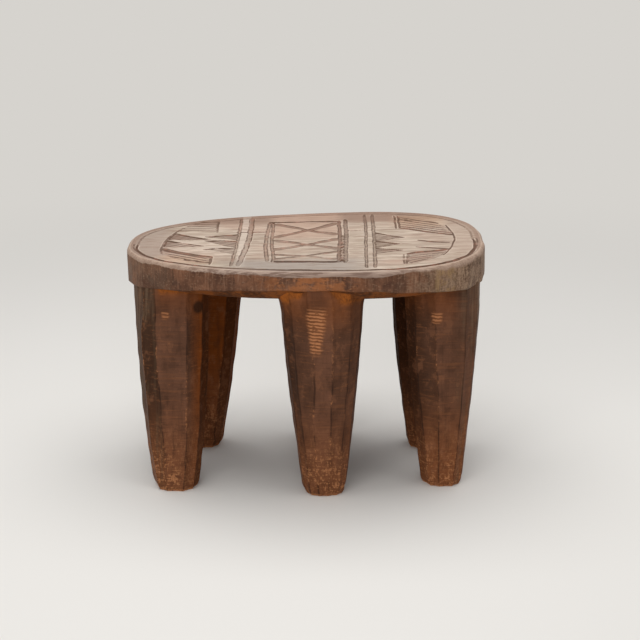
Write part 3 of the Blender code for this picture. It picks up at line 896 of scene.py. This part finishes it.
rubbed = rubbed.maths("MAXIMUM", rubbed, height.rise(0.005, 0.001) * speckle.rise(0.36, 0.50))
wood = (rubbed * 0.8).blend(wood, colour(184, 126, 84))
worn = ridge.rise(0.25, 0.9) * speckle.rise(0.50, 0.62) * blotches.rise(0.50, 0.60)
wood = (worn * 0.8).blend(wood, colour(164, 108, 70))
flecks = place.noise((90, 90, 300), 3, 0.6).rise(0.68, 0.76)
wood = (flecks * 0.6).blend(wood, colour(158, 98, 58))
rusty = blotches.rise(0.38, 0.60).blend(colour(96, 52, 24), colour(138, 76, 34))
wood = (height.rise(0.215, 0.266) * (1.0 - end.rise(0.0, 0.5)) * 0.45).blend(wood, rusty)
# The leg tops under the rim keep the unhandled wood's orange, strengthened by a painted glow that stands for
# light bounced up from the floor.
unhandled_orange_and_glow = (blotches * 0.6 + speckle * 0.4).rise(0.38, 0.60).blend(colour(96, 52, 20), colour(158, 88, 32))
wood = (root.rise(0.25, 0.9) * 0.85).blend(wood, unhandled_orange_and_glow)

# In front, the blade chattered in three places and left bright notches, and a dark spot is painted as the
# shade of a scooped hollow near the top of the front left leg. Each place has where it is across and up, its
# half width and half height, and how bright it is.
SCOOP_SHADE = (-0.134, -0.073, 0.240)
scuffs = place.noise((120, 120, 200), 3, 0.6)
struck_places = (
    (0.014, 0.229, 0.012, 0.036, 0.8),
    (-0.175, 0.232, 0.006, 0.006, 0.45),
    (0.164, 0.231, 0.008, 0.008, 0.7),
)
for x, z, half_width, half_height, strength in struck_places:
    across = rightward.away_from(x) + (scuffs - 0.5) * half_width + (z - height) * 0.1
    struck = across.rise(half_width, half_width * 0.5)
    struck = struck * height.away_from(z).rise(half_height, half_height * 0.6)
    struck = struck * backward.rise(-0.070, -0.075) * strength
    rungs = height * (1 / NOTCH_SPACING) + rightward * 25.0 + scuffs * 0.9
    notches = rungs.maths("FRACT", rungs, 0.0).away_from(0.5).rise(0.36, 0.16)
    notches = notches * scuffs.rise(0.30, 0.46)
    wood = (struck * 0.6).blend(wood, colour(128, 78, 46))
    wood = (struck * notches).blend(wood, colour(188, 126, 84))
# Painted shade: a dark spot standing for a scooped hollow that the leg's shape doesn't have.
from_scoop_shade = place.node("VectorMath", {"operation": "DISTANCE"}, {0: place, 1: SCOOP_SHADE}, "Value")
wood = (from_scoop_shade.rise(0.011, 0.005) * 0.85).blend(wood, colour(38, 24, 16))
roughness = 0.54 + 0.25 * (blotches - 0.5) + 0.12 * rubbed + 0.35 * inner
relief = place.bump(lines * 0.7 + grain * 0.6 + streaks * 0.5, 0.0006, 0.7)
relief = place.bump(speckle, 0.0003, 0.5, relief)
finish_wood(shader, base_color=wood, roughness=roughness, normal=relief)

shape_leg("leg_front_left", (-0.1692, -0.0466), (-0.1662, -0.0756), (0.089, 0.054), 2.1,
          {-162: -0.3, -117: -0.4, -92: 0.7, -52: 0.4, -20: 0.1, 15: 0.4, 55: 0.6, 98: 0.3, 140: 0.7}, 31)
shape_leg("leg_front_centre", (0.0205, -0.1114), (0.0240, -0.0914), (0.100, 0.053), 1.4,
          {-170: 0.3, -138: 0.1, -108: 0.4, -91: 0.8, -73: 0.45, -42: 0.7, -8: 0.4, 36: 0.2, 80: 0.6,
           112: 0.4, 150: 0.5}, 32)
shape_leg("leg_front_right", (0.1730, -0.0562), (0.1768, -0.0605), (0.092, 0.050), 1.6,
          {-152: 0.2, -112: 0.15, -84: 0.62, -46: 0.85, -8: 0.4, 30: 0.3, 72: 0.7, 112: 0.4, 162: 0.6}, 33)
shape_leg("leg_rear_left", (-0.1293, 0.0839), (-0.1423, 0.0720), (0.090, 0.052), 1.7,
          {-170: 0.5, -128: 0.2, -84: 0.7, -42: 0.1, -12: 0.6, 28: 0.3, 66: 0.8, 104: 0.4, 146: 0.6}, 34)
shape_leg("leg_rear_centre", (0.0171, 0.1096), (0.0221, 0.0956), (0.094, 0.050), 1.6,
          {-164: 0.3, -122: 0.6, -84: 0.2, -44: 0.5, -6: 0.4, 34: 0.7, 66: 0.3, 93: 0.85, 118: 0.4,
           152: 0.6}, 35)
shape_leg("leg_rear_right", (0.1581, 0.0883), (0.1641, 0.0690), (0.090, 0.052), 1.7,
          {-174: 0.2, -134: 0.5, -96: 0.3, -54: 0.6, -14: 0.4, 24: 0.7, 64: 0.35, 102: 0.8, 142: 0.5}, 36)


# Studio: a plain pale floor that fades into air of the same tone all round, a broad soft lamp overhead
# and a wide soft one in front, and the camera where the photograph was taken from.

FLOOR_TONE = colour(222, 219, 214)
AIR_TONE = colour(214, 211, 206)

bpy.ops.object.select_all(action="DESELECT")
bpy.ops.mesh.primitive_plane_add(size=2)
studio_floor = bpy.context.object
studio_floor.name = "studio_floor"
bpy.ops.object.mode_set(mode="EDIT")
bpy.ops.mesh.subdivide(number_cuts=3)
bpy.ops.transform.resize(value=(12, 12, 1))
bpy.ops.object.mode_set(mode="OBJECT")


def seen_directly(start):
    """1 for what the camera sees, straight or in a reflection, 0 for light that falls on things."""
    straight = start.node("LightPath", None, None, "Is Camera Ray")
    mirrored = start.node("LightPath", None, None, "Is Glossy Ray")
    through = start.node("LightPath", None, None, "Is Transmission Ray")
    return (straight + mirrored + through).rise(0.0, 1.0)


paper = bpy.data.materials.new("studio_paper")
paper.use_nodes = True
shader = paper.node_tree.nodes["Principled BSDF"]
shader.inputs["Base Color"].default_value = FLOOR_TONE
shader.inputs["Roughness"].default_value = 0.9
start = Socket(paper.node_tree, None)
place = start.node("TexCoord", None, None, "Object")
from_middle = place.node("VectorMath", {"operation": "LENGTH"}, {0: place}, "Value")
faded = seen_directly(start) * from_middle.rise(0.5, 1.6)
air = start.node("Emission", None, {"Color": AIR_TONE})
lit_paper = Socket(paper.node_tree, shader.outputs[0])
paper_or_air = faded.node("MixShader", None, {0: faded, 1: lit_paper, 2: air})
paper.node_tree.links.new(paper_or_air.output, paper.node_tree.nodes["Material Output"].inputs["Surface"])
studio_floor.data.materials.append(paper)

world = bpy.data.worlds.new("studio_air")
world.use_nodes = True
start = Socket(world.node_tree, None)
light = start.node("Background", None, {"Color": (0.95, 0.97, 1.0, 1.0), "Strength": 0.22})
air = start.node("Background", None, {"Color": AIR_TONE})
light_or_air = start.node("MixShader", None, {0: seen_directly(start), 1: light, 2: air})
world.node_tree.links.new(light_or_air.output, world.node_tree.nodes["World Output"].inputs["Surface"])
bpy.context.scene.world = world


def soft_lamp(name, place, aim, size, power):
    lamp = bpy.data.lights.new(name, "AREA")
    lamp.shape = "RECTANGLE"
    lamp.size, lamp.size_y = size
    lamp.energy = power
    hung = bpy.data.objects.new(name, lamp)
    hung.location = place
    hung.rotation_euler = (Vector(aim) - Vector(place)).to_track_quat("-Z", "Y").to_euler()
    bpy.context.scene.collection.objects.link(hung)


soft_lamp("overhead_lamp", (0.0, 0.1, 2.2), (0, 0, 0.3), (2.6, 2.2), 50)
soft_lamp("front_lamp", (-0.6, -2.6, 1.5), (0, 0, 0.2), (2.4, 1.4), 36)

view = bpy.data.cameras.new("photo_view")
view.lens = 100
view.sensor_width = 36
camera = bpy.data.objects.new("photo_view", view)
camera.location = (0.0184, -2.198, 0.910)
camera.rotation_euler = (radians(72.084), 0, 0)
bpy.context.scene.collection.objects.link(camera)
bpy.context.scene.camera = camera
bpy.context.scene.view_settings.view_transform = "Standard"
